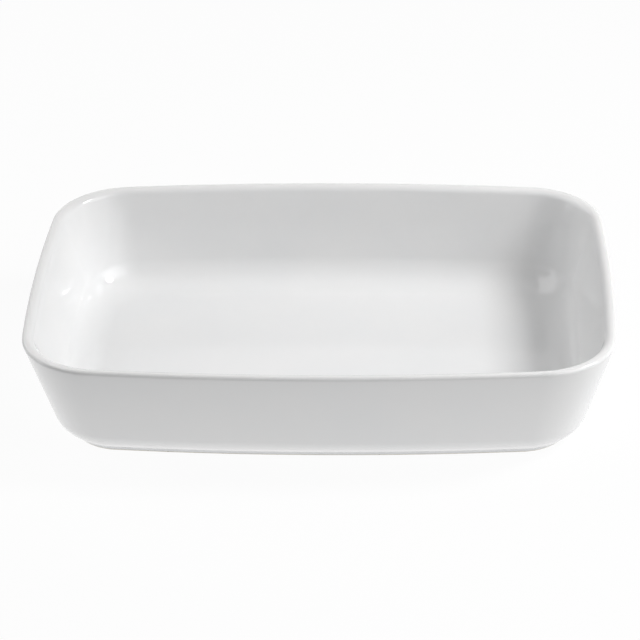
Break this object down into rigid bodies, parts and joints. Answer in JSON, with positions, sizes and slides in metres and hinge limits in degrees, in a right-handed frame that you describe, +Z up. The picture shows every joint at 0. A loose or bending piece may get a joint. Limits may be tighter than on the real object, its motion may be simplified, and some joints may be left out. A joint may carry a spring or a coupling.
{
  "type": "baking dish",
  "caption": "Rectangular white glazed ceramic baking dish with leaning, gently bowed walls, round corners, a rolled rim and a foot ring, for baking and serving.",
  "frame": {"origin": "middle of the dish on the surface that its foot ring stands on", "axes": "+X along the length, +Y along the width, +Z up out of the open mouth"},
  "size_m": [0.33, 0.23, 0.065],
  "materials": {
    "bare_clay": "matt, fired, unglazed",
    "white_glaze": "high gloss, smooth"
  },
  "bodies": {
    "root": {"clay_body": "bare_clay", "glaze_coat": "white_glaze", "base_glaze": "white_glaze"}
  },
  "joints": []
}
